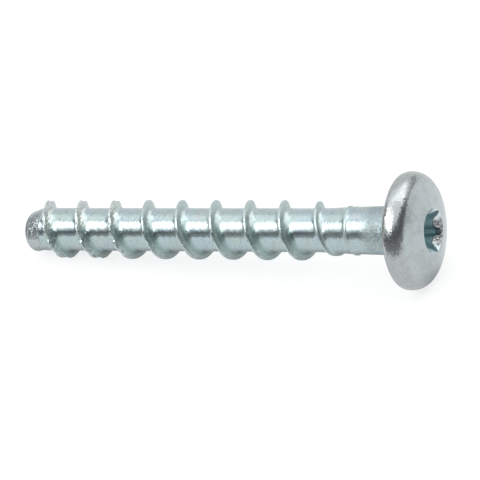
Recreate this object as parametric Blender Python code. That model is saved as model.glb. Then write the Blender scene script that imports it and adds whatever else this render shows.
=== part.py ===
# Concrete screw: one cold-formed steel piece with a rolled cutting thread, a flanged pan head
# and a six-lobe drive recess. It lies on its side, on the head's rim and the thread's first full turn.
#
# The screw is modelled along its own axis: local +Z runs from the tip to the head, and local z = 0 is
# the bearing face under the head. Angles are counted right-handed about that axis, from the side that
# faces down as the screw lies.

import math

import bmesh
import bpy
from mathutils import Matrix

MM = 0.001

# Shank, from the bearing face to the tip
LENGTH = 53.0 * MM
CORE_DIAMETER = 5.46 * MM
TIP_TAPER = 0.18 * MM
TIP_TAPER_LENGTH = 2.3 * MM
TIP_ROUNDING = 0.9 * MM
TIP_ROUNDING_LENGTH = 1.0 * MM
NECK_DIAMETER = 5.9 * MM
NECK_GROWTH = 0.1 * MM
NECK_LENGTH = 6.0 * MM
NECK_BLEND_LENGTH = 5.8 * MM
FILLET_RADIUS = 0.45 * MM

# Thread ridge, right-handed
THREAD_DIAMETER = 7.5 * MM
PITCH = 4.82 * MM
CREST_WIDTH = 0.22 * MM
FLANK_WIDTH = 0.31 * MM
FOOT_FILLET_WIDTH = 0.38 * MM
FOOT_FILLET_RISE = 0.36 * MM
THREAD_START = 1.29 * MM
THREAD_START_ANGLE = 48.0
RUN_IN_TURNS = 0.2
RUN_OUT_LENGTH = 7.2 * MM
LEAD_EASE_TURNS = 1.2
PLAIN_NECK = 6.5 * MM
RIDGE_END_HEIGHT = 0.12 * MM

# Saw teeth in the first turns of the ridge: each gap has a long back and a short steep cutting face
TEETH_PER_TURN = 10
TOOTH_GAP_DEPTH = 0.26 * MM
TOOTH_GAP_ANGLE = 24.0
CUTTING_FACE_ANGLE = 6.0
TOOTHED_LENGTH = 13.6 * MM

# Head, from the bearing face up
HEAD_DIAMETER = 14.6 * MM
HEAD_HEIGHT = 3.66 * MM
RIM_RISE = 0.75 * MM
RIM_ROUNDING = 0.35 * MM
SHOULDER_WIDTH = 0.95 * MM
SHOULDER_ANGLE = 32.0
FACE_ANGLE = 17.0
FACE_BULGE = 0.06 * MM

# Six-lobe recess with a coned mouth, driver size 30
LOBES = 6
LOBE_SPAN = 5.6 * MM
FLUTE_SPAN = 3.95 * MM
LOBE_ROUNDING = 0.463 * MM
FLUTE_ROUNDING = 1.194 * MM
RECESS_DEPTH = 2.9 * MM
MOUTH_DEPTH = 1.0 * MM
FLOOR_DROP = 0.6 * MM
RECESS_ANGLE = 54.0

# Steps around one turn: a multiple of the teeth, so every tooth gap has a step at its deepest point
STEPS_PER_TOOTH = 6
STEPS = TEETH_PER_TURN * STEPS_PER_TOOTH


def removeOldObjects():
    for old in list(bpy.data.objects):
        bpy.data.objects.remove(old, do_unlink=True)


def smoothStep(value):
    value = min(max(value, 0.0), 1.0)
    return value * value * (3.0 - 2.0 * value)


def angleOfStep(step):
    return math.radians(THREAD_START_ANGLE) + 2.0 * math.pi * step / STEPS


# Radius of the shank without its thread, at a height along the axis

def shankRadius(height):
    fromTip = LENGTH + height
    core = CORE_DIAMETER / 2 - TIP_TAPER * (1.0 - min(fromTip / TIP_TAPER_LENGTH, 1.0))
    neckBottom = -NECK_LENGTH - NECK_BLEND_LENGTH
    blend = smoothStep((height - neckBottom) / NECK_BLEND_LENGTH)
    neck = NECK_DIAMETER / 2 + NECK_GROWTH * max(1.0 + height / NECK_LENGTH, 0.0)
    return core + (neck - core) * blend


# Thread ridge: its centre line climbs one pitch a turn, and its section is cut down by the tooth gaps

def threadTurns():
    # The lead eases to nothing in the last turns, which costs half a pitch for each of them
    return (LENGTH - THREAD_START - PLAIN_NECK) / PITCH + LEAD_EASE_TURNS / 2


def ridgeCentre(step):
    turns = step / STEPS
    eased = max(turns - threadTurns() + LEAD_EASE_TURNS, 0.0)
    return -LENGTH + THREAD_START + PITCH * (turns - eased * eased / LEAD_EASE_TURNS / 2)


def ridgeRise(step):
    fullRise = (THREAD_DIAMETER - CORE_DIAMETER) / 2
    runIn = smoothStep(step / STEPS / RUN_IN_TURNS)
    runOut = smoothStep((-PLAIN_NECK - ridgeCentre(step)) / RUN_OUT_LENGTH)
    return RIDGE_END_HEIGHT + (fullRise - RIDGE_END_HEIGHT) * min(runIn, runOut)


def toothGap(step):
    if ridgeCentre(step) > -LENGTH + TOOTHED_LENGTH:
        return 0.0
    toothAngle = 360.0 / TEETH_PER_TURN
    fromGap = (math.degrees(angleOfStep(step)) + toothAngle / 2) % toothAngle - toothAngle / 2
    backDepth = (fromGap + TOOTH_GAP_ANGLE / 2) / (TOOTH_GAP_ANGLE - CUTTING_FACE_ANGLE)
    faceDepth = (TOOTH_GAP_ANGLE / 2 - fromGap) / CUTTING_FACE_ANGLE
    return TOOTH_GAP_DEPTH * max(min(backDepth, faceDepth), 0.0)


def ridgeSection(step):
    # Six points from the tip side to the head side: foot, fillet top, crest, crest, fillet top, foot
    fullRise = (THREAD_DIAMETER - CORE_DIAMETER) / 2
    rise = ridgeRise(step)
    top = max(rise - toothGap(step), RIDGE_END_HEIGHT)
    centre = ridgeCentre(step)
    filletRise = min(FOOT_FILLET_RISE * rise / fullRise, top / 2)
    flankHalf = CREST_WIDTH / 2 + FLANK_WIDTH * rise / fullRise
    footHalf = flankHalf + FOOT_FILLET_WIDTH * rise / fullRise
    filletHalf = flankHalf - FLANK_WIDTH * filletRise / fullRise
    topHalf = flankHalf - FLANK_WIDTH * top / fullRise
    crestRadius = max(CORE_DIAMETER / 2 + top, shankRadius(centre) + RIDGE_END_HEIGHT)
    return [
        (centre - footHalf, shankRadius(centre - footHalf)),
        (centre - filletHalf, shankRadius(centre - filletHalf) + filletRise),
        (centre - topHalf, crestRadius),
        (centre + topHalf, crestRadius),
        (centre + filletHalf, shankRadius(centre + filletHalf) + filletRise),
        (centre + footHalf, shankRadius(centre + footHalf)),
    ]


# Six-lobe outline: lobe arcs and flute arcs that meet in a smooth line

def lobeRadius(angle):
    lobeAngle = 2.0 * math.pi / LOBES
    fromLobe = abs((angle - math.radians(RECESS_ANGLE) + lobeAngle / 2) % lobeAngle - lobeAngle / 2)
    fromFlute = lobeAngle / 2 - fromLobe
    lobeCentre = LOBE_SPAN / 2 - LOBE_ROUNDING
    fluteCentre = FLUTE_SPAN / 2 + FLUTE_ROUNDING
    candidates = []
    lobeReach = LOBE_ROUNDING ** 2 - (lobeCentre * math.sin(fromLobe)) ** 2
    if lobeReach > 0.0:
        candidates.append(lobeCentre * math.cos(fromLobe) + math.sqrt(lobeReach))
    fluteReach = FLUTE_ROUNDING ** 2 - (fluteCentre * math.sin(fromFlute)) ** 2
    if fluteReach > 0.0:
        candidates.append(fluteCentre * math.cos(fromFlute) - math.sqrt(fluteReach))
    return min(candidates) if candidates else FLUTE_SPAN / 2


# Rings of points round the axis, as (height, radius for each step)

def roundRing(height, radius):
    return [(height, radius)] * STEPS


def tipRings():
    rings = []
    tipRadius = shankRadius(-LENGTH + TIP_ROUNDING_LENGTH)
    arcSteps = 5
    for index in range(arcSteps + 1):
        turn = math.pi / 2 * index / arcSteps
        height = -LENGTH + TIP_ROUNDING_LENGTH * (1.0 - math.cos(turn))
        rings.append(roundRing(height, tipRadius - TIP_ROUNDING * (1.0 - math.sin(turn))))
    return rings


def neckRings():
    straight = [-PLAIN_NECK + FLANK_WIDTH + CREST_WIDTH, -FILLET_RADIUS]
    rings = [roundRing(height, shankRadius(height)) for height in straight]
    arcSteps = 4
    neckTop = shankRadius(-FILLET_RADIUS)
    for index in range(1, arcSteps + 1):
        turn = math.pi / 2 * index / arcSteps
        height = -FILLET_RADIUS * (1.0 - math.sin(turn))
        rings.append(roundRing(height, neckTop + FILLET_RADIUS * (1.0 - math.cos(turn))))
    return rings


def headRings():
    rings = []
    headRadius = HEAD_DIAMETER / 2
    edgeRadius = headRadius - SHOULDER_WIDTH
    mouthRadius = LOBE_SPAN / 2
    edgeHeight = HEAD_HEIGHT - (edgeRadius - mouthRadius) * math.tan(math.radians(FACE_ANGLE))
    bendHeight = edgeHeight - SHOULDER_WIDTH * math.tan(math.radians(SHOULDER_ANGLE))
    rimSteps = 4
    for index in range(rimSteps + 1):
        turn = math.pi / 2 * index / rimSteps
        height = RIM_RISE * (1.0 - math.cos(turn))
        rings.append(roundRing(height, headRadius - RIM_ROUNDING * (1.0 - math.sin(turn))))
    shoulderSteps = 5
    for index in range(1, shoulderSteps + 1):
        # A curve that leaves the rim upright and reaches the face at the shoulder's angle
        t = index / shoulderSteps
        height = RIM_RISE * (1 - t) ** 2 + bendHeight * 2 * t * (1 - t) + edgeHeight * t * t
        rings.append(roundRing(height, headRadius - SHOULDER_WIDTH * t * t))
    faceSteps = 4
    for index in range(1, faceSteps + 1):
        t = index / faceSteps
        height = edgeHeight + (HEAD_HEIGHT - edgeHeight) * t + FACE_BULGE * 4 * t * (1 - t)
        rings.append(roundRing(height, edgeRadius + (mouthRadius - edgeRadius) * t))
    return rings


def recessRings():
    rings = []
    coneSteps = 4
    for index in range(1, coneSteps + 1):
        t = index / coneSteps
        coneRadius = (LOBE_SPAN + (FLUTE_SPAN - LOBE_SPAN) * t) / 2
        height = HEAD_HEIGHT - MOUTH_DEPTH * t
        rings.append([(height, max(coneRadius, lobeRadius(angleOfStep(step)))) for step in range(STEPS)])
    floorHeight = HEAD_HEIGHT - RECESS_DEPTH
    rings.append([(floorHeight, lobeRadius(angleOfStep(step))) for step in range(STEPS)])
    rings.append([(floorHeight - FLOOR_DROP / 2, radius / 2) for _, radius in rings[-1]])
    return rings


# Mesh building

def addPoint(mesh, step, height, radius):
    angle = angleOfStep(step)
    return mesh.verts.new((radius * math.cos(angle), radius * math.sin(angle), height))


def addRing(mesh, ring):
    return [addPoint(mesh, step, height, radius) for step, (height, radius) in enumerate(ring)]


def bridgeRings(mesh, lower, upper):
    for step in range(STEPS):
        after = (step + 1) % STEPS
        mesh.faces.new((lower[step], lower[after], upper[after], upper[step]))


def bridgeStrips(mesh, lower, upper):
    for step in range(len(lower) - 1):
        mesh.faces.new((lower[step], lower[step + 1], upper[step + 1], upper[step]))


def addThread(mesh, tipRing, neckRing):
    # The ridge is one helical strip. Below its first turn and above its last the shank closes to
    # flat rings, and between two turns the strip's own feet are joined.
    lastStep = round(threadTurns() * STEPS)
    sections = []
    for step in range(lastStep + 1):
        sections.append([addPoint(mesh, step, *point) for point in ridgeSection(step)])
    lines = list(zip(*sections))
    tipFoot, headFoot = lines[0], lines[-1]
    for lower, upper in zip(lines, lines[1:]):
        bridgeStrips(mesh, lower, upper)
    mesh.faces.new(reversed(sections[0]))
    mesh.faces.new(sections[-1])
    # Shank between one turn and the next
    bridgeStrips(mesh, headFoot[:lastStep - STEPS + 1], tipFoot[STEPS:])
    # Shank between the tip and the first turn
    for step in range(STEPS - 1):
        mesh.faces.new((tipRing[step], tipRing[step + 1], tipFoot[step + 1], tipFoot[step]))
    mesh.faces.new((tipRing[STEPS - 1], tipRing[0], tipFoot[0], headFoot[0], tipFoot[STEPS],
                    tipFoot[STEPS - 1]))
    # Shank between the last turn and the neck
    first = lastStep - STEPS
    for step in range(first + 1, lastStep):
        here = step % STEPS
        after = (step + 1) % STEPS
        mesh.faces.new((headFoot[step], headFoot[step + 1], neckRing[after], neckRing[here]))
    here = first % STEPS
    after = (first + 1) % STEPS
    mesh.faces.new((headFoot[first], headFoot[first + 1], neckRing[after], neckRing[here],
                    headFoot[lastStep], tipFoot[lastStep]))


def buildScrewMesh():
    mesh = bmesh.new()
    tip = [addRing(mesh, ring) for ring in tipRings()]
    neck = [addRing(mesh, ring) for ring in neckRings() + headRings() + recessRings()]
    mesh.faces.new(reversed(tip[0]))
    for rings in (tip, neck):
        for lower, upper in zip(rings, rings[1:]):
            bridgeRings(mesh, lower, upper)
    addThread(mesh, tip[-1], neck[0])
    floorCentre = mesh.verts.new((0.0, 0.0, HEAD_HEIGHT - RECESS_DEPTH - FLOOR_DROP))
    for step in range(STEPS):
        mesh.faces.new((neck[-1][step], neck[-1][(step + 1) % STEPS], floorCentre))
    bmesh.ops.recalc_face_normals(mesh, faces=mesh.faces)
    data = bpy.data.meshes.new("screw")
    mesh.to_mesh(data)
    mesh.free()
    data.shade_smooth()
    data.set_sharp_from_angle(angle=math.radians(28.0))
    return data


# Zinc-plated steel, with a thin clear passivated film

def platedSteel():
    material = bpy.data.materials.new("plated_steel")
    material.use_nodes = True
    shader = material.node_tree.nodes["Principled BSDF"]
    shader.inputs["Base Color"].default_value = (0.60, 0.65, 0.65, 1.0)
    shader.inputs["Metallic"].default_value = 1.0
    shader.inputs["Roughness"].default_value = 0.28
    material.diffuse_color = (0.60, 0.65, 0.65, 1.0)
    return material


# Rest pose: the axis leans until the head's rim and the thread touch the ground together

def lowest(points, turn, headSide):
    heights = [(turn @ point).z for point in points if (point.z > -PLAIN_NECK) == headSide]
    return min(heights)


def restingPose(data):
    points = [vertex.co.copy() for vertex in data.vertices]
    level, steep = 0.0, math.radians(30.0)
    for _ in range(40):
        lean = (level + steep) / 2
        turn = Matrix.Rotation(math.pi / 2 - lean, 4, "Y")
        if lowest(points, turn, True) < lowest(points, turn, False):
            level = lean
        else:
            steep = lean
    placed = [turn @ point for point in points]
    lows = [min(point[axis] for point in placed) for axis in range(3)]
    highs = [max(point[axis] for point in placed) for axis in range(3)]
    location = (-(lows[0] + highs[0]) / 2, -(lows[1] + highs[1]) / 2, -lows[2])
    return location, (0.0, math.pi / 2 - lean, 0.0)


def main():
    removeOldObjects()
    data = buildScrewMesh()
    data.materials.append(platedSteel())
    screw = bpy.data.objects.new("screw", data)
    bpy.context.scene.collection.objects.link(screw)
    screw.location, screw.rotation_euler = restingPose(data)


main()
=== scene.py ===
import math

import bpy
from mathutils import Matrix, Vector


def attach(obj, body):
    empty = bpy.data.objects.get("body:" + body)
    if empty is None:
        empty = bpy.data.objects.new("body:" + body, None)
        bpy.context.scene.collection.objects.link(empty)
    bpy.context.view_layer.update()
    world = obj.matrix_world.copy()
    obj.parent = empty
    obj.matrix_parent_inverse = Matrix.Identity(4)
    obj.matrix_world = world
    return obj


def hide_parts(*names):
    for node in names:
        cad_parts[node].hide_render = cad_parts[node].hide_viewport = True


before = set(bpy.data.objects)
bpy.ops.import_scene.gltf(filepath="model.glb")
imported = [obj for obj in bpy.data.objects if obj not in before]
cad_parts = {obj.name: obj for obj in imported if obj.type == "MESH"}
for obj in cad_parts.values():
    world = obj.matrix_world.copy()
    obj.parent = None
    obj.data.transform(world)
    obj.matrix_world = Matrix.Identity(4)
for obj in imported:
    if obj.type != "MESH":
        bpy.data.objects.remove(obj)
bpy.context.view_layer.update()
mm = 0.001
print("frame loaded")


# One class for sockets and one for node trees, used by the geometry and by the materials

class Wire:
    def __init__(self, net, socket):
        self.net = net
        self.socket = socket

    def __add__(self, other):
        return self.net.maths("ADD", self, other)

    def __radd__(self, other):
        return self.net.maths("ADD", other, self)

    def __sub__(self, other):
        return self.net.maths("SUBTRACT", self, other)

    def __rsub__(self, other):
        return self.net.maths("SUBTRACT", other, self)

    def __mul__(self, other):
        return self.net.maths("MULTIPLY", self, other)

    def __rmul__(self, other):
        return self.net.maths("MULTIPLY", other, self)

    def __truediv__(self, other):
        return self.net.maths("DIVIDE", self, other)

    def __rtruediv__(self, other):
        return self.net.maths("DIVIDE", other, self)

    def out(self, name):  # another output of the same node
        return Wire(self.net, self.socket.node.outputs[name])


class Net:
    def __init__(self, tree):
        self.tree = tree

    def node(self, kind, settings=None, sockets=None):
        node = self.tree.nodes.new(kind)
        for name, value in (settings or {}).items():
            setattr(node, name, value)
        for name, value in (sockets or {}).items():
            if isinstance(name, int):
                socket = node.inputs[name]
            else:
                socket = next(each for each in node.inputs if each.enabled and each.name == name)
            if isinstance(value, Wire):
                self.tree.links.new(value.socket, socket)
            else:
                socket.default_value = value
        shown = [socket for socket in node.outputs if socket.enabled]
        return Wire(self, shown[0]) if shown else None

    def maths(self, operation, *values):
        return self.node("ShaderNodeMath", {"operation": operation}, dict(enumerate(values)))

    def vector(self, operation, *values):
        return self.node("ShaderNodeVectorMath", {"operation": operation}, dict(enumerate(values)))

    def split(self, vector):  # X, with Y and Z as its other outputs
        return self.node("ShaderNodeSeparateXYZ", {}, {"Vector": vector})

    def smooth(self, value, low, high):  # 0 at low, 1 at high, level at both ends
        return self.node("ShaderNodeMapRange", {"interpolation_type": "SMOOTHSTEP"},
                         {"Value": value, "From Min": low, "From Max": high})

    def blend(self, amount, first, second):
        return self.node("ShaderNodeMix", {"data_type": "RGBA"},
                         {"Factor": amount, "A": first, "B": second})


# The screw

# It is turned and threaded along its own axis, local +Z from the tip to the head, with the bearing face
# at zero, and laid down afterwards. All lengths are in metres.
screwSizes = {
    "length": 53.0 * mm,
    "coreRadius": 2.73 * mm,
    "tipTaper": 0.18 * mm,
    "tipTaperLength": 2.3 * mm,
    "neckRadius": 2.95 * mm,
    "neckGrowth": 0.1 * mm,
    "neckLength": 6.0 * mm,
    "neckBlend": 5.8 * mm,
    "threadRadius": 3.75 * mm,
    "pitch": 4.82 * mm,
    "crestHalf": 0.14 * mm,
    "flank": 0.28 * mm,
    "start": 1.29 * mm,         # thread's first point, from the tip
    "startTurn": 48.0 / 360.0,  # and the way it faces
    "runIn": 0.2,               # turns
    "runOut": 7.2 * mm,
    "leadEase": 1.2,            # turns over which the lead eases to a ring
    "plainNeck": 6.5 * mm,
    "endHeight": 0.12 * mm,
    "riseTurns": 0.08,          # the ridge comes out of the shank over these turns
    "sinkTurns": 0.15,          # and goes back into it over these
    "sink": 0.2 * mm,
    "teeth": 10.0,              # gaps in one turn
    "gapDepth": 0.26 * mm,
    "gapTurn": 24.0 / 360.0,
    "faceTurn": 6.0 / 360.0,    # the gap's steep cutting face
    "gapSoftness": 0.25,        # shares of the gap's depth, at its deepest point
    "gapEdgeSoftness": 0.12,    # and at its edges
    "toothedLength": 14.3 * mm,  # from the tip
    "crestSoftness": 0.07 * mm,
    "tipFillet": 0.16 * mm,     # width of the ridge's foot on its tip side
    "headFillet": 0.42 * mm,    # and on its head side
    "filletSlope": 0.74,
    "filletSoftness": 0.42 * mm,
    "tipShift": 0.25 * mm,      # the tip is pressed a little to one side
    "tipShiftTurn": 326.0 / 360.0,
    "tipShiftFrom": 1.9 * mm,
    "tipShiftTo": 0.7 * mm,
}
screwDetail = {
    "columns": 240,             # in one turn
    "rows": 28,
    "neckRows": 14,
    "rowCrowding": 0.86,
    "weld": 0.002 * mm,
    "sharpAngle": 42.0,
}
profileSteps = {"tip": 12, "fillet": 8, "rim": 8, "shoulder": 14, "face": 12,
                "mouth": 8, "wall": 6, "floor": 4}
screwPose = {"lean": 4.2779, "place": (24.5613 * mm, 0.0, 7.2237 * mm)}  # as the part's source lays it
headSizes = {
    "radius": 7.3 * mm,
    "height": 3.66 * mm,        # at the recess mouth
    "fillet": 0.45 * mm,        # under the head
    "rimRise": 0.75 * mm,
    "rimRounding": 0.35 * mm,
    "shoulder": 0.95 * mm,
    "shoulderAngle": 32.0,
    "faceAngle": 17.0,
    "faceBulge": 0.06 * mm,
    "tipRounding": 0.9 * mm,
    "tipRoundingLength": 1.0 * mm,
}
driveOutline = {
    "lobes": 6.0,
    "lobeSpan": 5.6 * mm,
    "fluteSpan": 3.95 * mm,
    "lobeRounding": 0.463 * mm,
    "fluteRounding": 1.194 * mm,
    "driveTurn": 54.0 / 360.0,
}
recessSizes = {"depth": 2.9 * mm, "mouthDepth": 1.0 * mm, "floorDrop": 0.6 * mm}
formSizes = {**screwSizes, **driveOutline}  # what the Geometry Nodes tree takes


def smoothStep(value):
    value = min(max(value, 0.0), 1.0)
    return value * value * (3.0 - 2.0 * value)


def shankRadius(height):
    size = screwSizes
    taper = 1 - min((size["length"] + height) / size["tipTaperLength"], 1)
    core = size["coreRadius"] - size["tipTaper"] * taper
    blend = smoothStep((height + size["neckLength"] + size["neckBlend"]) / size["neckBlend"])
    neck = size["neckRadius"] + size["neckGrowth"] * max(1 + height / size["neckLength"], 0)
    return core + (neck - core) * blend


def threadRange():
    # First and last turn of the strip that winds round the shank. Both fall on one of its columns.
    size, columns = screwSizes, screwDetail["columns"]
    turns = (size["length"] - size["start"] - size["plainNeck"]) / size["pitch"] + size["leadEase"] / 2
    last = round((turns + size["startTurn"]) * columns) / columns - size["startTurn"]
    tipRing = -size["length"] + headSizes["tipRoundingLength"]
    first = (tipRing + size["length"] - size["start"]) / size["pitch"] - 1
    steps = math.floor((last - first) * columns)
    return last - steps / columns, last, steps


def ringHeight(first):
    # Where the tip's rounding ends in a level ring and the strip begins
    return -screwSizes["length"] + screwSizes["start"] + screwSizes["pitch"] * (first + 1)


def quarterTurn(steps):
    return [math.pi / 2 * index / steps for index in range(steps + 1)]


def sharesOf(steps):
    return [index / steps for index in range(1, steps + 1)]


def turnedProfile():
    # (radius, height, share of the six-lobe outline) from the tip's centre to the recess floor's
    size, head, recess, steps = screwSizes, headSizes, recessSizes, profileSteps
    ring = ringHeight(threadRange()[0])
    roundedRadius = shankRadius(-size["length"] + head["tipRoundingLength"])
    tip = [(0.0, -size["length"], 0.0)]
    for turn in quarterTurn(steps["tip"]):
        tip.append((roundedRadius - head["tipRounding"] * (1 - math.sin(turn)),
                    -size["length"] + head["tipRoundingLength"] * (1 - math.cos(turn)), 0.0))
    tip.append((shankRadius(ring), ring, 0.0))
    top = []
    filletRadius = shankRadius(-head["fillet"])
    for turn in quarterTurn(steps["fillet"]):
        top.append((filletRadius + head["fillet"] * (1 - math.cos(turn)),
                    -head["fillet"] * (1 - math.sin(turn)), 0.0))
    edgeRadius = head["radius"] - head["shoulder"]
    mouthRadius = driveOutline["lobeSpan"] / 2
    edgeHeight = head["height"] - (edgeRadius - mouthRadius) * math.tan(math.radians(head["faceAngle"]))
    bendHeight = edgeHeight - head["shoulder"] * math.tan(math.radians(head["shoulderAngle"]))
    for turn in quarterTurn(steps["rim"]):
        top.append((head["radius"] - head["rimRounding"] * (1 - math.sin(turn)),
                    head["rimRise"] * (1 - math.cos(turn)), 0.0))
    for t in sharesOf(steps["shoulder"]):
        top.append((head["radius"] - head["shoulder"] * t * t,
                    head["rimRise"] * (1 - t) ** 2 + bendHeight * 2 * t * (1 - t) + edgeHeight * t * t, 0.0))
    faceRise = head["height"] - edgeHeight
    for t in sharesOf(steps["face"]):
        top.append((edgeRadius + (mouthRadius - edgeRadius) * t,
                    edgeHeight + faceRise * t + head["faceBulge"] * 4 * t * (1 - t), 0.0))
    fluteRadius = driveOutline["fluteSpan"] / 2
    mouthFoot, wallHeight = head["height"] - recess["mouthDepth"], recess["depth"] - recess["mouthDepth"]
    for t in sharesOf(steps["mouth"]):
        top.append((mouthRadius + (fluteRadius - mouthRadius) * t,
                    head["height"] - recess["mouthDepth"] * t, 1.0))
    for t in sharesOf(steps["wall"]):
        top.append((fluteRadius, mouthFoot - wallHeight * t, 1.0))
    wallFoot = head["height"] - recess["depth"]
    for t in sharesOf(steps["floor"]):
        top.append((fluteRadius * (1 - t), wallFoot - recess["floorDrop"] * t, 1 - t))
    return tip, top


class ScrewNet(Net):
    # Geometry maths of the screw, for a tree whose group input holds its sizes

    def __init__(self, tree, size, lastTurn):
        super().__init__(tree)
        self.size = size
        self.lastTurn = lastTurn

    def shank(self, height):
        size = self.size
        taper = 1 - self.maths("MINIMUM", (size["length"] + height) / size["tipTaperLength"], 1.0)
        core = size["coreRadius"] - size["tipTaper"] * taper
        blend = self.smooth(height, 0 - size["neckLength"] - size["neckBlend"], 0 - size["neckLength"])
        upNeck = self.maths("MAXIMUM", height / size["neckLength"] + 1, 0.0)
        neck = size["neckRadius"] + size["neckGrowth"] * upNeck
        return core + (neck - core) * blend

    def ridgeCentre(self, turns):
        size = self.size
        turns = self.maths("MINIMUM", turns, self.lastTurn)
        eased = self.maths("MAXIMUM", turns - self.lastTurn + size["leadEase"], 0.0)
        turns = turns - eased * eased / size["leadEase"] / 2
        return size["start"] - size["length"] + size["pitch"] * turns

    def toothGap(self, turns, centre):
        size = self.size
        fromGap = self.maths("WRAP", (turns + size["startTurn"]) * size["teeth"], 0.5, -0.5) / size["teeth"]
        back = (fromGap + size["gapTurn"] / 2) / (size["gapTurn"] - size["faceTurn"])
        face = (size["gapTurn"] / 2 - fromGap) / size["faceTurn"]
        cut = self.maths("SMOOTH_MIN", back, face, size["gapSoftness"])
        cut = self.maths("SMOOTH_MAX", cut, 0.0, size["gapEdgeSoftness"])
        toothed = self.maths("LESS_THAN", centre, size["toothedLength"] - size["length"])
        return size["gapDepth"] * cut * toothed

    def ridge(self, turns, height):
        # Radius of the ridge that passes this height on the given turn
        size = self.size
        centre = self.ridgeCentre(turns)
        full = size["threadRadius"] - size["coreRadius"]
        runIn = self.smooth(turns, 0.0, size["runIn"])
        runOut = self.smooth(0 - size["plainNeck"] - centre, 0.0, size["runOut"])
        rise = size["endHeight"] + (full - size["endHeight"]) * self.maths("MINIMUM", runIn, runOut)
        top = self.maths("MAXIMUM", rise - self.toothGap(turns, centre), size["endHeight"])
        foot = self.shank(centre)
        there = self.smooth(turns, 0.0, size["riseTurns"])
        there = there * self.smooth(self.lastTurn - turns, 0.0, size["sinkTurns"])
        above = self.maths("MAXIMUM", size["coreRadius"] + top - foot, size["endHeight"])
        crest = foot + above * there - size["sink"] * (1 - there)
        flankHalf = size["crestHalf"] + size["flank"] * rise / full
        aside = self.maths("ABSOLUTE", height - centre)
        flank = foot + (flankHalf - aside) * full / size["flank"]
        onHeadSide = self.maths("GREATER_THAN", height, centre)
        filletWidth = size["tipFillet"] + (size["headFillet"] - size["tipFillet"]) * onHeadSide
        fillet = foot + (flankHalf + filletWidth * rise / full - aside) * size["filletSlope"]
        soft = size["filletSoftness"] * rise / full
        sides = self.maths("SMOOTH_MAX", flank, fillet, soft)
        return self.maths("SMOOTH_MIN", crest, sides, size["crestSoftness"])

    def grid(self, columns, rows):
        return self.node("GeometryNodeMeshGrid", {}, {"Size X": 1.0, "Size Y": 1.0,
                                                      "Vertices X": columns, "Vertices Y": rows})

    def position(self):
        return self.node("GeometryNodeInputPosition")

    def surface(self, columns, rows, firstTurn, turns, heightOf, ridgeTurns):
        # A grid wrapped round the axis: its columns run along the turns and its rows up the screw
        grid = self.grid(columns, rows)
        place = self.split(self.position())
        along = (place + 0.5) * turns + firstTurn
        height = heightOf(along, place.out("Y") + 0.5)
        radius = self.shank(height)
        for offset in ridgeTurns:
            ridge = self.ridge(along + offset, height)
            radius = self.maths("SMOOTH_MAX", radius, ridge, self.size["filletSoftness"])
        return self.wrap(grid, along, radius, height)

    def around(self, radius, angle, height):
        return self.node("ShaderNodeCombineXYZ", {}, {"X": radius * self.maths("COSINE", angle),
                                                      "Y": radius * self.maths("SINE", angle), "Z": height})

    def wrap(self, grid, along, radius, height):
        place = self.around(radius, (along + self.size["startTurn"]) * math.tau, height)
        return self.node("GeometryNodeSetPosition", {}, {"Geometry": grid, "Position": place})

    def stripHeight(self, ring):
        def heightOf(along, across):
            # Rows crowd towards the ridges at both edges of the strip
            low = self.maths("MAXIMUM", self.ridgeCentre(along), ring)
            high = self.maths("MAXIMUM", self.ridgeCentre(along + 1), ring)
            wave = self.maths("SINE", across * math.tau) * (screwDetail["rowCrowding"] / math.tau)
            return low + (high - low) * (across - wave)
        return heightOf


def addSizes(tree, sizes):
    # Named inputs of the tree, and their identifiers for the modifier
    tree.interface.new_socket("Geometry", in_out="INPUT", socket_type="NodeSocketGeometry")
    tree.interface.new_socket("Geometry", in_out="OUTPUT", socket_type="NodeSocketGeometry")
    identifiers = {}
    for name, value in sizes.items():
        socket = tree.interface.new_socket(name, in_out="INPUT", socket_type="NodeSocketFloat")
        socket.default_value = value
        identifiers[name] = socket.identifier
    return identifiers


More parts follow.
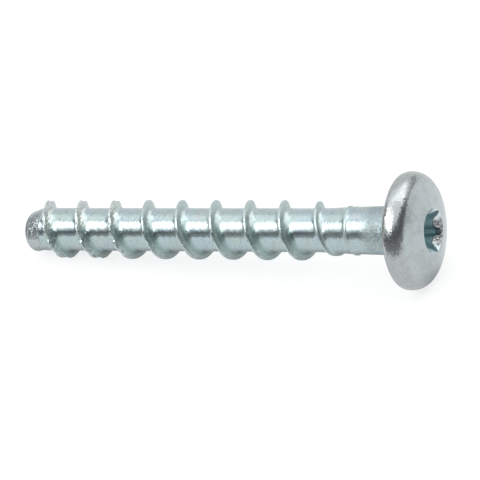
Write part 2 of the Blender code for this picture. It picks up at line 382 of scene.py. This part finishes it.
def screwTree(material, tipRows, topRows):
    tree = bpy.data.node_groups.new("screwForm", "GeometryNodeTree")
    identifiers = addSizes(tree, formSizes)
    first, last, steps = threadRange()
    entry = tree.nodes.new("NodeGroupInput")
    net = ScrewNet(tree, {}, last)
    net.size = {name: Wire(net, entry.outputs[name]) for name in identifiers}
    size, columns = net.size, screwDetail["columns"]
    heightOf = net.stripHeight(ringHeight(first))
    strip = net.surface(steps + 1, screwDetail["rows"], first, steps / columns, heightOf, (0, 1))

    def neckHeight(along, across):
        return (across * across - 1) * (size["plainNeck"] - headSizes["fillet"]) - headSizes["fillet"]

    neck = net.surface(columns + 1, screwDetail["neckRows"], last - 1, 1.0, neckHeight, (0,))

    # The turned parts: each row of a grid takes its radius and height from one point of the profile
    profile = Wire(net, entry.outputs["Geometry"])
    turned = []
    for rows, firstRow in ((tipRows, 0), (topRows, tipRows)):
        place = net.split(net.position())
        row = net.maths("ROUND", (place.out("Y") + 0.5) * (rows - 1) + firstRow)
        point = net.split(net.node("GeometryNodeSampleIndex", {"data_type": "FLOAT_VECTOR"},
                                   {"Geometry": profile, "Value": net.position(), "Index": row}))
        along = (place + 0.5) + first
        radius = net.maths("MAXIMUM", point, sixLobes(net, along) * point.out("Y"))
        turned.append(net.wrap(net.grid(columns + 1, rows), along, radius, point.out("Z")))

    joined = net.node("GeometryNodeJoinGeometry")
    join = joined.socket.node
    for part in (strip, neck, *turned):
        tree.links.new(part.socket, join.inputs[0])
    welded = net.node("GeometryNodeMergeByDistance", {},
                      {"Geometry": joined, "Distance": screwDetail["weld"]})
    fromTip = net.split(net.position()).out("Z") + size["length"]
    shift = size["tipShift"] * (1 - net.smooth(fromTip, size["tipShiftTo"], size["tipShiftFrom"]))
    offset = net.around(shift, size["tipShiftTurn"] * math.tau, 0.0)
    pressed = net.node("GeometryNodeSetPosition", {}, {"Geometry": welded, "Offset": offset})
    smoothed = net.node("GeometryNodeSetShadeSmooth", {}, {"Geometry": pressed, "Shade Smooth": True})
    real = net.node("GeometryNodeRealizeInstances", {}, {"Geometry": smoothed})
    done = net.node("GeometryNodeSetMaterial", {}, {"Geometry": real, "Material": material})
    net.node("NodeGroupOutput", {}, {"Geometry": done})
    return tree, identifiers


def sixLobes(net, along):
    # Radius of the drive outline: lobe arcs and flute arcs, whichever is nearer the axis
    size = net.size
    lobeTurns = (along + size["startTurn"] - size["driveTurn"]) * size["lobes"]
    fromLobe = net.maths("PINGPONG", lobeTurns, 0.5) / size["lobes"] * math.tau
    fromFlute = math.pi / size["lobes"] - fromLobe
    lobeCentre = size["lobeSpan"] / 2 - size["lobeRounding"]
    fluteCentre = size["fluteSpan"] / 2 + size["fluteRounding"]

    def arc(centre, turned, rounding, side):
        across = centre * net.maths("SINE", turned)
        reach = rounding * rounding - across * across
        half = net.maths("SQRT", net.maths("MAXIMUM", reach, 0.0))
        ray = centre * net.maths("COSINE", turned) + side * half
        return ray + net.maths("LESS_THAN", reach, 0.0)  # a metre further out where the ray misses

    lobe = arc(lobeCentre, fromLobe, size["lobeRounding"], 1)
    flute = arc(fluteCentre, fromFlute, size["fluteRounding"], -1)
    return net.maths("MINIMUM", lobe, flute)


def makeScrew(material):
    tip, top = turnedProfile()
    points = [(radius, share, height) for radius, height, share in tip + top]
    data = bpy.data.meshes.new("screwProfile")
    data.from_pydata(points, [], [])
    screw = bpy.data.objects.new("screwBlank", data)
    bpy.context.scene.collection.objects.link(screw)
    tree, identifiers = screwTree(material, len(tip), len(top))
    winding = screw.modifiers.new("screwForm", "NODES")
    winding.node_group = tree
    for name, value in formSizes.items():
        winding[identifiers[name]] = value
    evaluated = screw.evaluated_get(bpy.context.evaluated_depsgraph_get())
    shape = bpy.data.meshes.new_from_object(evaluated)
    bpy.data.objects.remove(screw, do_unlink=True)
    lean = Matrix.Rotation(math.pi / 2 - math.radians(screwPose["lean"]), 4, "Y")
    shape.transform(Matrix.Translation(screwPose["place"]) @ lean)
    shape.set_sharp_from_angle(angle=math.radians(screwDetail["sharpAngle"]))
    piece = bpy.data.objects.new("platedScrew", shape)
    bpy.context.scene.collection.objects.link(piece)
    return piece


# Zinc-plated steel under a thin clear passivated film

steelLook = {
    "blue": (0.42, 0.515, 0.555, 1.0),
    "green": (0.43, 0.515, 0.505, 1.0),
    "lilac": (0.49, 0.505, 0.54, 1.0),
    "ridge": (0.51, 0.6, 0.59, 1.0),
    "teeth": (0.68, 0.73, 0.7, 1.0),    # painted highlight: lighter on top of the toothed turns
    "root": (0.24, 0.36, 0.35, 1.0),    # on the head side of the ridge's foot, save on top: partly the plating's teal, partly painted shade in that crease
    # painted shade: the root darker still in a band just above the axis's height
    "rootMiddle": (0.19, 0.29, 0.285, 1.0),
    "head": (0.455, 0.492, 0.495, 1.0),
    "rim": (0.43, 0.445, 0.445, 1.0),
    "inside": (0.6, 0.74, 0.76, 1.0),   # drive recess: its own teal, made lighter as painted light against the recess's shade
    "mouth": (0.62, 0.68, 0.7, 1.0),    # and the cone at its mouth, on its back side: greyer and a little darker, painted shade against the bright softbox it mirrors
    "cornerShade": (0.37, 0.385, 0.4, 1.0),    # darker in one corner, where the dents are deep: painted shade
    "dull": (0.17, 0.19, 0.2, 1.0),     # single crystals, pits, stains and roll streaks, and painted shade on the tip, in its groove and on the neck by the head
    "share": {"lilac": 0.6, "ridge": 0.8, "teeth": 0.7, "root": 0.75, "rootMiddle": 0.6,
              "head": 0.8, "rim": 0.8},
    "cloud": {"Scale": 0.35, "Detail": 3.0},  # slow drift between blue and green, per millimetre
    "cloudRange": (0.35, 0.65),
    "tint": {"Scale": 0.6, "Detail": 2.0, "Distortion": 0.4},  # lilac patches, pits and stains
    "lilacRange": (0.55, 0.75),
    "grain": 6.2,                       # crystals per millimetre
    "grainTilt": {"all": 0.06, "head": 0.01, "rim": 0.05, "tip": 0.3, "ridge": 0.14, "byHead": 0.3,
                  "teeth": 0.2, "scuff": 0.5},
    "grainShade": {"all": 0.13, "head": 0.05, "rim": 0.08, "tip": 0.05, "ridge": 0.2, "byHead": 0.32,
                   # near the head and on the tip's upper front this darkening is painted shade; elsewhere
                   # crystals darken at random
                   "teeth": 0.14, "scuff": 0.4},
    "roughness": (0.13, 0.2),
    "roughnessIn": {"flank": 0.2, "inside": 0.15, "middle": 0.05, "tip": 0.08, "byHead": 0.26, "head": 0.04,
                    "scuff": 0.08},
    # painted shade on the tip's upper front
    "scuffAndShadeAmount": 0.7,
    # painted shadow in the tip's groove
    "grooveShadow": 0.75,
    "grooveDepth": 0.03 * mm,
    "groovePlace": 50.7,                # millimetres down the axis
    "stainShade": 0.11,                 # dull patches on the head
    "stainRange": (0.42, 0.64),
    "pitShade": 0.4,                    # single dark crystals, in patches
    "pitChoice": (0.82, 0.88),
    "pitRange": (0.44, 0.58),
    "roll": {"Scale": 1.0, "Detail": 3.0},  # marks that the thread rolls left round the shank
    "rollStretch": (0.9, 0.9, 4.2),
    "rollRange": (0.5, 0.66),
    "rollShade": 0.1,
    "rollHeight": 0.028 * mm,
    "rollOffRidge": 0.6,
    "neckShade": 0.2,                   # painted shade on top, next to the head
    "dent": {"Scale": 1.5, "Detail": 1.0, "Distortion": 0.6},  # in the recess
    "dentHeight": (0.015 * mm, 0.3 * mm),
    "edgeTint": (0.9, 0.9, 0.91, 1.0),
}

# Where each zone begins and where it is full, in millimetres: from the bearing face up or down the
# screw's axis, out from that axis, or sideways from it. The screw's own +X points down where it lies,
# and its +Y to the back.
steelZones = {
    "shank": (0.0, 1.0),            # down the axis
    "thread": (6.0, 6.6),
    "rootFrom": (10.0, 12.0),
    "teeth": (38.0, 41.0),
    "tip": (50.5, 50.9),
    "middle": (-40.0, -30.0),       # up the axis, from the fourth turn on
    "byHead": (-5.4, -3.6),
    "recess": (0.4, 0.6),
    "mouth": (2.62, 2.8),
    "ridge": (0.015, 0.18),         # out from the core
    "rootTop": (0.3, 0.6),
    "crest": (3.52, 3.66),          # out from the axis
    "rim": (5.9, 6.9),
    "recessWall": (2.78, 2.86),
    "rootNear": (0.2, 0.45),        # from the ridge's centre line towards the head
    "rootFar": (0.6, 1.3),
    "rootRunIn": (0.0, 2.0),        # from the thread's start
    "rootSide": (-2.4, -1.2),       # towards +X
    "middleSide": (-2.4, -1.6),
    "middleEnd": (-0.2, 0.8),
    "teethHighlightSide": (-2.4, -1.4),
    "cornerSide": (-0.5, 0.5),
    "neckTop": (0.0, 2.0),          # towards -X
    "mouthBack": (-0.2, 1.0),       # towards +Y
    "cornerBack": (-0.3, 0.7),
    "scuffAndShadeSide": (2.7, 3.4),        # towards -X and -Y
    "grooveShadowSide": (1.5, 3.0),
    "groove": (0.0, 0.16),          # from the middle of the groove
}


def platedSteel():
    look, size = steelLook, screwSizes
    material = bpy.data.materials.new("platedSteel")
    material.use_nodes = True
    net = Net(material.node_tree)
    turn = (0.0, math.pi / 2 - math.radians(screwPose["lean"]), 0.0)
    local = net.node("ShaderNodeMapping", {"vector_type": "TEXTURE"},
                     {"Vector": net.node("ShaderNodeTexCoord").out("Object"), "Location": screwPose["place"],
                      "Rotation": turn, "Scale": (mm, mm, mm)})
    x = net.split(local)
    y, height = x.out("Y"), x.out("Z")
    depth = 0 - height
    radius = net.maths("SQRT", x * x + y * y)
    towardsFront = 0 - x - y

    def noise(name, vector):
        return net.node("ShaderNodeTexNoise", {}, {"Vector": vector, **look[name]})

    cloud = net.smooth(noise("cloud", local), *look["cloudRange"])
    tint = noise("tint", local)
    roll = noise("roll", net.node("ShaderNodeMapping", {}, {"Vector": local, "Scale": look["rollStretch"]}))
    dent = noise("dent", local)
    crystal = net.node("ShaderNodeTexVoronoi", {}, {"Vector": local, "Scale": look["grain"]}).out("Color")
    single = net.split(crystal)

    def zone(value, name):
        return net.smooth(value, *steelZones[name])

    neckFrom = -(size["neckLength"] + size["neckBlend"]) / mm
    neckGrowth = (size["neckRadius"] - size["coreRadius"]) / mm
    core = size["coreRadius"] / mm + neckGrowth * net.smooth(height, neckFrom, -size["neckLength"] / mm)
    onShank, onThread, onTip = zone(depth, "shank"), zone(depth, "thread"), zone(depth, "tip")
    onRidge = zone(radius - core, "ridge") * onThread
    onCrest = zone(radius, "crest") * onThread
    onTeeth = onRidge * zone(depth, "teeth")
    onRim = zone(radius, "rim")
    # a rougher, speckled patch on the tip's upper front, darkened as painted shade
    scuff = onTip * zone(towardsFront, "scuffAndShadeSide")
    offGroove = zone(net.maths("ABSOLUTE", height + look["groovePlace"]), "groove")
    byHead = zone(height, "byHead") * onShank
    inside = zone(height, "recess") * (1 - zone(radius, "recessWall"))
    inMouth = zone(height, "mouth") * zone(y, "mouthBack")
    inCorner = inMouth * zone(x, "cornerSide") * zone(y, "cornerBack")

    # The ridge's foot on its head side, from its distance to the ridge's centre line, with a teal tint there
    # that is partly painted shade
    pitch, start = size["pitch"] / mm, (size["start"] - size["length"]) / mm
    turns = net.maths("ARCTAN2", y, x) / math.tau - size["startTurn"]
    fromRidge = net.maths("WRAP", (height - start) / pitch - turns, 0.5, -0.5) * pitch
    root = zone(fromRidge, "rootNear") * (1 - zone(fromRidge, "rootFar"))
    root = root * (1 - zone(radius - core, "rootTop"))
    root = root * zone(depth, "rootFrom") * zone(height - start, "rootRunIn") * zone(x, "rootSide")
    # painted shade: the root darker still just above the axis's height
    rootMiddle = root * zone(x, "middleSide") * (1 - zone(x, "middleEnd"))

    colour = net.blend(cloud, look["blue"], look["green"])
    layers = {"lilac": net.smooth(tint, *look["lilacRange"]), "ridge": onRidge,
              # the teeth's lighter top is a painted highlight
              "teeth": onTeeth * (1 - zone(x, "teethHighlightSide")), "root": root, "rootMiddle": rootMiddle,
              "head": 1 - onShank + onTip, "rim": onRim}
    for name, layer in layers.items():
        colour = net.blend(layer * look["share"][name], colour, look[name])

    zones = {"all": 1.0, "head": 1 - onShank, "rim": onRim, "tip": onTip, "ridge": onRidge, "byHead": byHead,
             "teeth": onTeeth, "scuff": scuff, "flank": onRidge - onCrest, "inside": inside,
             "middle": zone(height, "middle") * onShank}

    def total(amounts):
        value = 0.0
        for name, amount in amounts.items():
            value = value + zones[name] * amount
        return value

    outside = 1 - inside
    pits = net.smooth(single.out("Y"), *look["pitChoice"]) * net.smooth(tint, *look["pitRange"])
    pits = pits * outside * look["pitShade"]
    stain = net.smooth(tint, *look["stainRange"]) * (1 - onShank) * look["stainShade"]
    # painted shadow along the tip's groove, on its upper front
    groove = (1 - offGroove) * zone(towardsFront, "grooveShadowSide") * look["grooveShadow"]
    streaksAndNeckShade = net.smooth(roll, *look["rollRange"]) * onShank * (1 - onRidge) * look["rollShade"]
    # painted shade on the neck's top, next to the head
    streaksAndNeckShade = streaksAndNeckShade + byHead * zone(0 - x, "neckTop") * look["neckShade"]
    # pits, and painted shade in the tip's groove and on the tip's upper front
    pitsAndShade = net.maths("MAXIMUM", net.maths("MAXIMUM", pits, groove), scuff * look["scuffAndShadeAmount"])
    dulled = net.maths("MAXIMUM", single * total(look["grainShade"]) * outside + streaksAndNeckShade + stain, pitsAndShade)
    colour = net.blend(dulled, colour, look["dull"])
    # the recess's lighter teal is partly painted light; the mouth cone's back and one corner are darkened as
    # painted shade
    recess = net.blend(inCorner, net.blend(inMouth, look["inside"], look["mouth"]), look["cornerShade"])
    colour = net.blend(inside, colour, recess)

    low, high = look["roughness"]
    rough = low + (high - low) * cloud + total(look["roughnessIn"])

    rolled = roll * onShank * (1 - onRidge * look["rollOffRidge"]) * look["rollHeight"]
    shallow, deep = look["dentHeight"]
    dented = dent * inside * (shallow + (deep - shallow) * inCorner)
    relief = rolled * outside + offGroove * look["grooveDepth"] + dented
    tilt = net.node("ShaderNodeVectorMath", {"operation": "SCALE"},
                    {0: net.vector("SUBTRACT", crystal, (0.5, 0.5, 0.5)),
                     "Scale": total(look["grainTilt"]) * outside})
    upright = net.node("ShaderNodeNewGeometry").out("Normal")
    leaned = net.vector("NORMALIZE", net.vector("ADD", upright, tilt))
    bump = net.node("ShaderNodeBump", {},
                    {"Strength": 1.0, "Distance": 1.0, "Height": relief, "Normal": leaned})

    shader = material.node_tree.nodes["Principled BSDF"]
    shader.inputs["Metallic"].default_value = 1.0
    shader.inputs["Specular Tint"].default_value = look["edgeTint"]
    for name, wire in (("Base Color", colour), ("Roughness", rough), ("Normal", bump)):
        material.node_tree.links.new(wire.socket, shader.inputs[name])
    return material


steel = platedSteel()
screw = makeScrew(steel)
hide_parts("screw")
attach(screw, "root")
print("screw made:", len(screw.data.polygons), "faces")


# Pale floor, lit evenly like a light table

# Only a faint shadow falls on it. Below the screw a painted shadow darkens the glow that the screw mirrors,
# though not what the camera sees.
floorLook = {
    "colour": (0.22, 0.22, 0.22, 1.0),
    "glow": (0.985, 1.0, 1.0, 1.0),
    "glowStrength": 0.8,
    "back": 3.0,
    "front": 50 * mm,  # it ends here, as the dark room beyond it shows in the steel
    "right": 150 * mm,
    "dark": (0.0, 0.0, 0.0, 1.0),
    "under": 0.5,      # painted shadow: how much of the glow is taken away below the screw, save for camera rays
    "underWidth": (0.5 * mm, 4.0 * mm),
    "underLength": (26 * mm, 32 * mm),
}


def makeFloor():
    back, front, right = floorLook["back"], floorLook["front"], floorLook["right"]
    data = bpy.data.meshes.new("floor")
    corners = [(-back, -front, 0), (right, -front, 0), (right, back, 0), (-back, back, 0)]
    data.from_pydata(corners, [], [(0, 1, 2, 3)])
    material = bpy.data.materials.new("paleFloor")
    material.use_nodes = True
    shader = material.node_tree.nodes["Principled BSDF"]
    shader.inputs["Base Color"].default_value = floorLook["colour"]
    shader.inputs["Roughness"].default_value = 1.0
    shader.inputs["Specular IOR Level"].default_value = 0.0
    shader.inputs["Emission Strength"].default_value = floorLook["glowStrength"]
    net = Net(material.node_tree)
    place = net.split(net.node("ShaderNodeTexCoord").out("Object"))
    # painted shadow below the screw, seen only in its reflections
    underShadow = 1 - net.smooth(net.maths("ABSOLUTE", place.out("Y")), *floorLook["underWidth"])
    underShadow = underShadow * (1 - net.smooth(net.maths("ABSOLUTE", place), *floorLook["underLength"]))
    unseen = 1 - net.node("ShaderNodeLightPath").out("Is Camera Ray")
    glow = net.blend(underShadow * unseen * floorLook["under"], floorLook["glow"], floorLook["dark"])
    material.node_tree.links.new(glow.socket, shader.inputs["Emission Color"])
    data.materials.append(material)
    floor = bpy.data.objects.new("floor", data)
    bpy.context.scene.collection.objects.link(floor)


makeFloor()
print("floor laid")


# Studio: one pale surrounding with soft-edged panels in it, drawn by direction from the screw

# A panel has its azimuth, half its width, its lowest and highest elevation and the softness of its edge,
# all in degrees, and its radiance, set against the floor's, which is about 1. A later one covers those
# before it.
studio = {
    "tint": (0.985, 1.0, 1.0, 1.0),
    "radiance": 1.05,
    "shownToCamera": 1.05,
    "panels": {
        "overhead": (90, 105, 62, 100, 8, 2.2),
        "ceilingInFront": (-45, 55, 42, 100, 5, 1.4),
        "dimSideWall": (-168, 16, -10, 53, 5, 0.42),
        "darkRoom": (-57, 87, -14, 24, 6, 0.17),
        "roomFloor": (-60, 87, -14, 8, 5, 0.37),
        "roomUpperWall": (-38, 62, 20, 41, 4, 0.18),
        "roomFarEnd": (56, 33, 12, 24, 4, 0.35),
        "glowOverKey": (-123, 32, 58, 74, 6, 2.0),
        "glowUnderKey": (-143, 22, 20, 34, 5, 1.05),
        "keySoftbox": (-121, 34, 33, 61, 4, 4.0),
        "secondSoftbox": (52, 36, 39, 78, 5, 2.3),
        "palerSoftbox": (165, 35, 48, 66, 5, 1.5),
    },
}


def facing(azimuth, elevation):
    azimuth, elevation = math.radians(azimuth), math.radians(elevation)
    return Vector((math.cos(elevation) * math.cos(azimuth), math.cos(elevation) * math.sin(azimuth),
                   math.sin(elevation)))


def makeStudio():
    world = bpy.data.worlds.new("studio")
    bpy.context.scene.world = world
    world.use_nodes = True
    net = Net(world.node_tree)
    towards = net.split(net.node("ShaderNodeTexCoord").out("Generated"))
    azimuth = net.maths("ARCTAN2", towards.out("Y"), towards) * math.degrees(1)
    elevation = net.maths("ARCSINE", towards.out("Z")) * math.degrees(1)
    radiance = studio["radiance"]
    for middle, halfWidth, low, high, edge, strength in studio["panels"].values():
        aside = net.maths("ABSOLUTE", net.maths("WRAP", azimuth - middle, 180.0, -180.0))
        inside = 1 - net.smooth(aside, halfWidth - edge, halfWidth + edge)
        inside = inside * net.smooth(elevation, low - edge, low + edge)
        inside = inside * (1 - net.smooth(elevation, high - edge, high + edge))
        radiance = radiance * (1 - inside) + strength * inside
    seen = net.node("ShaderNodeLightPath").out("Is Camera Ray")
    radiance = radiance * (1 - seen) + studio["shownToCamera"] * seen
    back = world.node_tree.nodes["Background"]
    back.inputs["Color"].default_value = studio["tint"]
    world.node_tree.links.new(radiance.socket, back.inputs["Strength"])
    view = bpy.context.scene.view_settings
    view.view_transform = "Standard"
    view.look = "None"


makeStudio()
print("studio lit")


# Camera at the photograph's angle

cameraView = {
    "aim": (6.28 * mm, -8.50 * mm, 10.11 * mm),
    "azimuth": -59.92,
    "elevation": 32.06,
    "roll": 12.83,
    "distance": 474.9 * mm,
    "lens": 291.3,
    "sensor": 36.0,
}


def makeCamera():
    view = cameraView
    towards = facing(view["azimuth"], view["elevation"])
    turn = towards.to_track_quat("Z", "Y").to_matrix().to_4x4()
    turn = turn @ Matrix.Rotation(-math.radians(view["roll"]), 4, "Z")
    data = bpy.data.cameras.new("camera")
    data.lens = view["lens"]
    data.sensor_width = view["sensor"]
    camera = bpy.data.objects.new("camera", data)
    camera.matrix_world = Matrix.Translation(Vector(view["aim"]) + towards * view["distance"]) @ turn
    bpy.context.scene.collection.objects.link(camera)
    bpy.context.scene.camera = camera


makeCamera()
print("camera placed")
